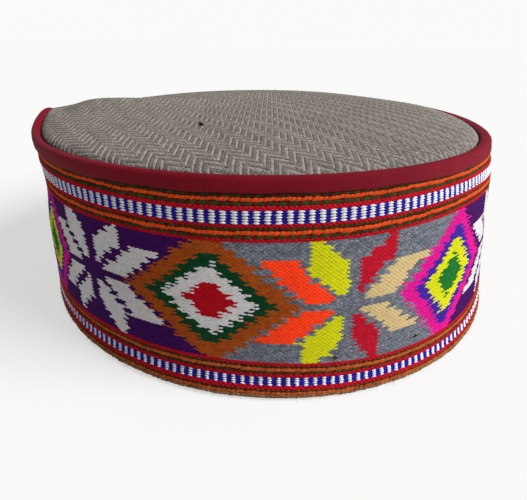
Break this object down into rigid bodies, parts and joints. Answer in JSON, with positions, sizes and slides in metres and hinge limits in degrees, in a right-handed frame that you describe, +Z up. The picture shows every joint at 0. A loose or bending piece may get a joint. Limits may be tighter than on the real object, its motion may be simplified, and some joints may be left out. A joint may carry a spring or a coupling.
{
  "type": "kullu cap",
  "caption": "Round pillbox cap with a domed tweed crown, a tweed side wall, a woven patterned band round the side and a bound top edge.",
  "frame": {"origin": "middle of the lower edge, on the surface that the cap rests on", "axes": "+Z up through the crown; the front of the cap, which the picture shows, is towards -Y"},
  "size_m": [0.194, 0.1931, 0.0762],
  "materials": {
    "tweed": "matt herringbone wool tweed, grey-brown and cream",
    "wall_tweed": "matt wool tweed, beige-brown",
    "woven_band": "thick acrylic and wool yarn in many bright colours",
    "maroon_binding": "smooth, slightly shiny maroon cloth strip"
  },
  "bodies": {
    "root": {"crown": "tweed", "side_wall": "wall_tweed", "band": "woven_band", "binding": "maroon_binding"}
  },
  "joints": []
}
